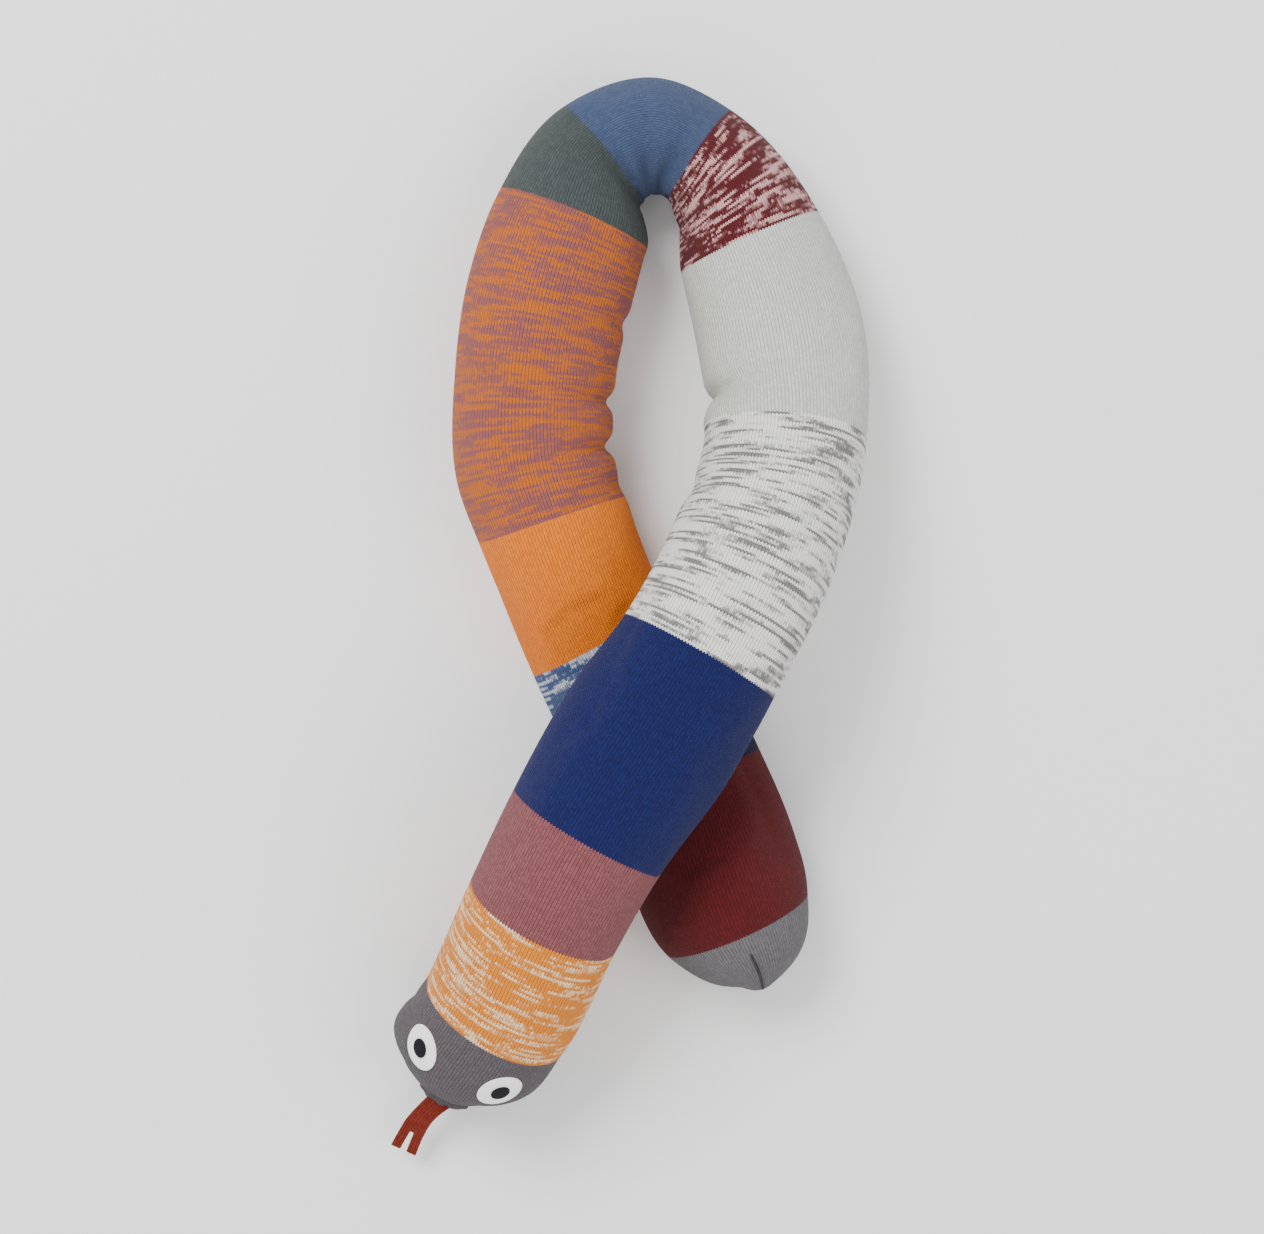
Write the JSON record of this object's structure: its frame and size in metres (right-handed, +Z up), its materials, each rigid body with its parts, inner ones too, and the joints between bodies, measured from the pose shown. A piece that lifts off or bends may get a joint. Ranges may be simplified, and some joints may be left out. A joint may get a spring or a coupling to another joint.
{
  "type": "stuffed toy snake",
  "caption": "Long stuffed toy snake of knitted cotton in blocks of colour, with felt eyes and a forked felt tongue, lying in a loop with its neck across its back.",
  "frame": {"origin": "middle of the footprint, on the floor", "axes": "+Z up; +Y along the length of the loop, from the head and tail towards the fold at the top of the loop; +X to the side of the pale grey length"},
  "size_m": [0.3958, 0.8956, 0.1861],
  "materials": {
    "grey_head_knit": "fine knitted cotton yarn",
    "amber_cream_knit": "fine knitted cotton yarn, two colours twisted together",
    "mauve_knit": "fine knitted cotton yarn",
    "royal_blue_knit": "fine knitted cotton yarn",
    "white_grey_knit": "fine knitted cotton yarn, two colours twisted together",
    "pale_grey_knit": "fine knitted cotton yarn",
    "burgundy_cream_knit": "fine knitted cotton yarn, two colours twisted together",
    "steel_blue_knit": "fine knitted cotton yarn",
    "slate_green_knit": "fine knitted cotton yarn",
    "amber_mauve_knit": "fine knitted cotton yarn, two colours twisted together",
    "amber_knit": "fine knitted cotton yarn",
    "pale_blue_knit": "fine knitted cotton yarn, two colours twisted together",
    "navy_knit": "fine knitted cotton yarn",
    "burgundy_knit": "fine knitted cotton yarn",
    "grey_tail_knit": "fine knitted cotton yarn",
    "filling_fibre": "loose white fibre",
    "white_felt": "felt",
    "dark_felt": "felt",
    "red_felt": "ribbed felt"
  },
  "bodies": {
    "loop": {"loop_filling": "filling_fibre", "pale_grey_band": "pale_grey_knit", "burgundy_cream_band": "burgundy_cream_knit", "steel_blue_band": "steel_blue_knit", "slate_green_band": "slate_green_knit", "amber_mauve_band": "amber_mauve_knit"},
    "neck": {"neck_filling": "filling_fibre", "white_grey_band": "white_grey_knit", "royal_blue_band": "royal_blue_knit", "mauve_band": "mauve_knit"},
    "nape": {"nape_filling": "filling_fibre", "amber_cream_band": "amber_cream_knit"},
    "head": {"head_filling": "filling_fibre", "grey_head_band": "grey_head_knit", "left_eye_white": "white_felt", "right_eye_white": "white_felt", "left_pupil": "dark_felt", "right_pupil": "dark_felt", "nose_seam": "grey_head_knit"},
    "tongue": {"tongue": "red_felt"},
    "back": {"back_filling": "filling_fibre", "amber_band": "amber_knit", "pale_blue_band": "pale_blue_knit", "navy_band": "navy_knit", "burgundy_band": "burgundy_knit"},
    "tail": {"tail_filling": "filling_fibre", "grey_tail_band": "grey_tail_knit", "tail_seam": "grey_tail_knit"}
  },
  "joints": [
    {"name": "neck_lift", "type": "hinge", "parent": "loop", "child": "neck", "pos_m": [0.12449, 0.22936, 0.05398], "axis": [-0.9856, -0.1692, 0], "range_deg": [0, 35], "deforming": ["pale_grey_band"]},
    {"name": "head_lift", "type": "hinge", "parent": "neck", "child": "nape", "pos_m": [-0.05306, -0.20619, 0.12411], "axis": [-0.8805, 0.474, 0], "range_deg": [0, 30], "deforming": ["mauve_band"]},
    {"name": "head_turn", "type": "hinge", "parent": "nape", "child": "head", "pos_m": [-0.08978, -0.28303, 0.09569], "axis": [0, 0, 1], "range_deg": [-20, 20], "deforming": ["amber_cream_band"]},
    {"name": "tongue_flap", "type": "hinge", "parent": "head", "child": "tongue", "pos_m": [-0.15774, -0.40329, 0.03319], "axis": [-0.8944, 0.4472, 0], "range_deg": [-20, 35]},
    {"name": "back_bend", "type": "hinge", "parent": "loop", "child": "back", "pos_m": [-0.07767, 0.19702, 0.05398], "axis": [0, 0, 1], "range_deg": [-4, 4], "deforming": ["amber_mauve_band"]},
    {"name": "tail_turn", "type": "hinge", "parent": "back", "child": "tail", "pos_m": [0.06821, -0.2003, 0.044], "axis": [0, 0, 1], "range_deg": [-5, 30], "deforming": ["burgundy_band"]}
  ]
}
